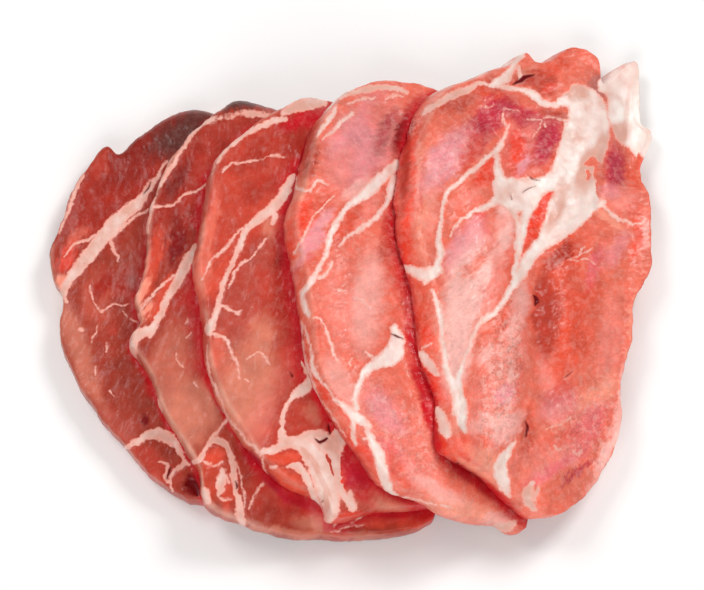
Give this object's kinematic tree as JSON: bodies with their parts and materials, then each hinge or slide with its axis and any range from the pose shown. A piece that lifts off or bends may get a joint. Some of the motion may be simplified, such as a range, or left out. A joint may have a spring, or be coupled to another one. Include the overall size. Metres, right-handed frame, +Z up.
{
  "type": "sliced raw pork collar",
  "caption": "Raw pork collar slices with white fat seams, laid in a leaning, overlapping row in the order they were cut, with no tray or film.",
  "frame": {"origin": "on the floor, below the middle of the row's bounding box", "axes": "+Z up, +X along the row from the lowest slice to the topmost, +Y towards the slices' upper ends as the picture shows them"},
  "size_m": [0.222, 0.189, 0.0532],
  "materials": {
    "raw_pork": "moist raw meat, red to pale pink lean with cream-white fat seams"
  },
  "bodies": {
    "root": {"slice_1": "raw_pork", "slice_2": "raw_pork", "slice_3": "raw_pork", "slice_4": "raw_pork", "slice_5": "raw_pork"}
  },
  "joints": []
}
